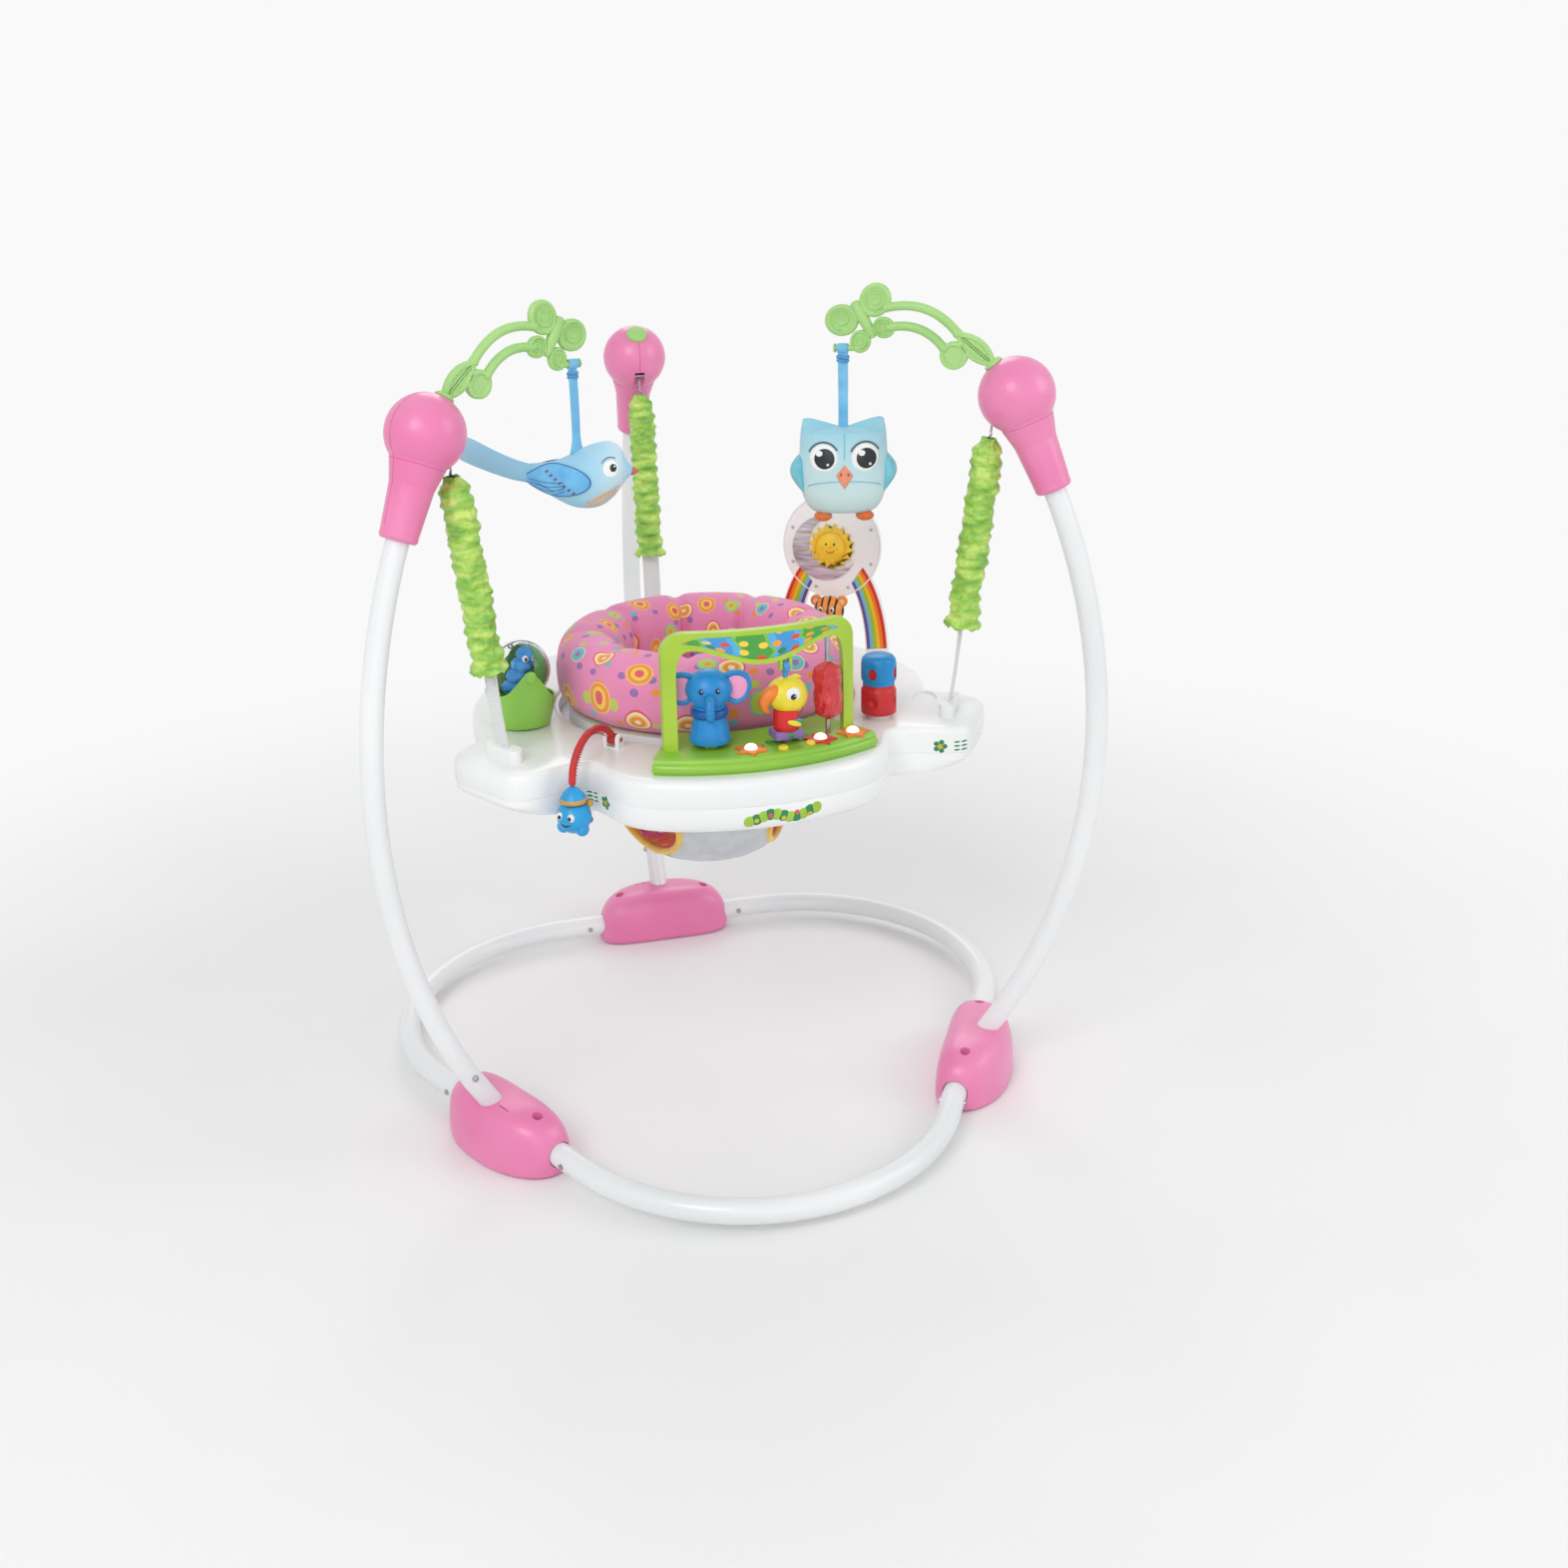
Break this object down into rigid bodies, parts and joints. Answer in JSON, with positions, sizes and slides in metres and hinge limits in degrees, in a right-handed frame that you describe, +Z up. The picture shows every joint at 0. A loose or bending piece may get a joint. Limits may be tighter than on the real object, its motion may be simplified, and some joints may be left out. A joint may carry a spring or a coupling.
{
  "type": "baby jumper",
  "caption": "Free-standing baby jumper: bowed tube frame with a sprung activity tray, swivel cloth seat, music station and hanging stuffed toys.",
  "frame": {"origin": "on the floor, under the middle of the outer box", "axes": "+Z up, -Y towards the front of the tray, where the music station stands"},
  "size_m": [0.739, 0.7995, 0.85],
  "materials": {
    "tube_white": "white powder coat",
    "shell_pink": "moulded satin plastic",
    "arm_green": "moulded matt plastic",
    "steel": "plated steel",
    "sleeve_satin": "gathered satin",
    "webbing_white": "woven webbing",
    "tray_white": "moulded gloss plastic",
    "station_green": "moulded gloss plastic",
    "arch_lime": "moulded gloss plastic",
    "lens_white": "clear lens",
    "board_green": "circuit board",
    "mirror_film": "mirror film",
    "toy_blue": "moulded gloss plastic",
    "toy_red": "moulded gloss plastic",
    "toy_yellow": "moulded gloss plastic",
    "toy_orange": "moulded gloss plastic",
    "globe_clear": "clear plastic",
    "seat_cloth": "printed cotton over soft fill",
    "sling_cloth": "printed cotton, doubled",
    "binding_yellow": "bias binding",
    "plush_sky": "printed plush",
    "plush_mist": "printed plush"
  },
  "bodies": {
    "frame": {"base_tube_front": "tube_white", "base_tube_right": "tube_white", "base_tube_left": "tube_white", "foot_left": "shell_pink", "foot_right": "shell_pink", "foot_rear": "shell_pink", "foot_screws": "steel", "tube_pins": "steel", "upright_left": "tube_white", "upright_right": "tube_white", "upright_rear": "tube_white", "housing_left": "shell_pink", "housing_right": "shell_pink", "housing_rear": "shell_pink", "rear_plug": "arm_green", "toy_arm_left": "arm_green", "toy_arm_right": "arm_green", "springs": "steel", "sleeve_left": "sleeve_satin", "sleeve_right": "sleeve_satin", "sleeve_rear": "sleeve_satin", "spring_pins": "steel"},
    "tray": {"tray_top": "tray_white", "tray_bottom": "tray_white", "seat_track": "tray_white", "straps": "webbing_white", "tray_fittings": "tray_white", "battery_cover": "tray_white", "station_base": "station_green", "station_arch": "arch_lime", "lamp_lenses": "lens_white", "sound_module": "board_green", "sun_tower": "tray_white", "moon_mirror": "mirror_film", "globe_cup": "station_green", "tiger": "toy_orange"},
    "seat": {"seat_ring": "tray_white", "seat_pad": "seat_cloth", "seat_sling": "sling_cloth", "sling_binding": "binding_yellow"},
    "elephant": {"elephant": "toy_blue"},
    "parrot": {"parrot": "toy_yellow"},
    "spinner": {"spinner": "toy_red"},
    "button_left": {"button_left": "toy_yellow"},
    "button_right": {"button_right": "toy_yellow"},
    "globe": {"globe": "globe_clear", "globe_figure": "toy_blue"},
    "stalk": {"stalk": "toy_red", "stalk_creature": "toy_blue"},
    "drum": {"drum": "toy_red"},
    "sun": {"sun": "toy_yellow"},
    "bird": {"bird_body": "plush_sky", "bird_tail": "plush_sky", "bird_strap": "plush_sky"},
    "owl": {"owl_body": "plush_mist", "owl_wings": "plush_sky", "owl_strap": "plush_sky"},
    "snap_left": {"snap_button_left": "steel"},
    "snap_right": {"snap_button_right": "steel"},
    "snap_rear": {"snap_button_rear": "steel"}
  },
  "joints": [
    {"name": "tray_bounce", "type": "slide", "parent": "frame", "child": "tray", "axis": [0, 0, 1], "range_m": [-0.06, 0.04], "stiffness_N_per_m": 1400, "springref_m": 0.02739, "deforming": ["springs", "sleeve_left", "sleeve_right", "sleeve_rear"]},
    {"name": "seat_swivel", "type": "hinge", "parent": "tray", "child": "seat", "pos_m": [0, -0.02523, 0.42], "axis": [0, 0, 1], "continuous": true},
    {"name": "elephant_rock", "type": "hinge", "parent": "tray", "child": "elephant", "pos_m": [-0.03931, -0.22744, 0.445], "axis": [-0.1908, -0.9816, 0], "range_deg": [-10, 10], "stiffness_Nm_per_rad": 0.4},
    {"name": "parrot_swing", "type": "hinge", "parent": "tray", "child": "parrot", "pos_m": [0.03222, -0.24083, 0.512], "axis": [0.989, 0.1478, 0], "range_deg": [-15, 15]},
    {"name": "spinner_spin", "type": "hinge", "parent": "tray", "child": "spinner", "pos_m": [0.07741, -0.22902, 0.436], "axis": [0, 0, 1], "continuous": true},
    {"name": "button_left_press", "type": "slide", "parent": "tray", "child": "button_left", "axis": [0, 0, -1], "range_m": [0, 0.002], "stiffness_N_per_m": 400, "springref_m": -0.001},
    {"name": "button_right_press", "type": "slide", "parent": "tray", "child": "button_right", "axis": [0, 0, -1], "range_m": [0, 0.002], "stiffness_N_per_m": 400, "springref_m": -0.001},
    {"name": "globe_roll", "type": "hinge", "parent": "tray", "child": "globe", "pos_m": [-0.19893, -0.0603, 0.478], "axis": [0.1736, -0.9848, 0], "continuous": true},
    {"name": "stalk_sway", "type": "hinge", "parent": "tray", "child": "stalk", "pos_m": [-0.12178, -0.16048, 0.429], "axis": [-0.7431, 0.6691, 0], "range_deg": [-2, 15], "stiffness_Nm_per_rad": 0.8, "springref_deg": 1.43},
    {"name": "drum_spin", "type": "hinge", "parent": "tray", "child": "drum", "pos_m": [0.15543, -0.15109, 0.42], "axis": [0, 0, 1], "continuous": true},
    {"name": "sun_spin", "type": "hinge", "parent": "tray", "child": "sun", "pos_m": [0.17482, 0.06773, 0.55], "axis": [-0.5, -0.866, 0], "continuous": true},
    {"name": "bird_swing", "type": "hinge", "parent": "frame", "child": "bird", "pos_m": [-0.13423, -0.10272, 0.78816], "axis": [-0.866, -0.5, 0], "range_deg": [-25, 25]},
    {"name": "owl_swing", "type": "hinge", "parent": "frame", "child": "owl", "pos_m": [0.13423, -0.10272, 0.78816], "axis": [0.866, -0.5, 0], "range_deg": [-25, 25]},
    {"name": "snap_left_press", "type": "slide", "parent": "frame", "child": "snap_left", "axis": [0.5, -0.866, 0], "range_m": [-0.003, 0], "stiffness_N_per_m": 600, "springref_m": 0.001},
    {"name": "snap_right_press", "type": "slide", "parent": "frame", "child": "snap_right", "axis": [0.5, 0.866, 0], "range_m": [-0.003, 0], "stiffness_N_per_m": 600, "springref_m": 0.001},
    {"name": "snap_rear_press", "type": "slide", "parent": "frame", "child": "snap_rear", "axis": [-1, 0, 0], "range_m": [-0.003, 0], "stiffness_N_per_m": 600, "springref_m": 0.001}
  ]
}
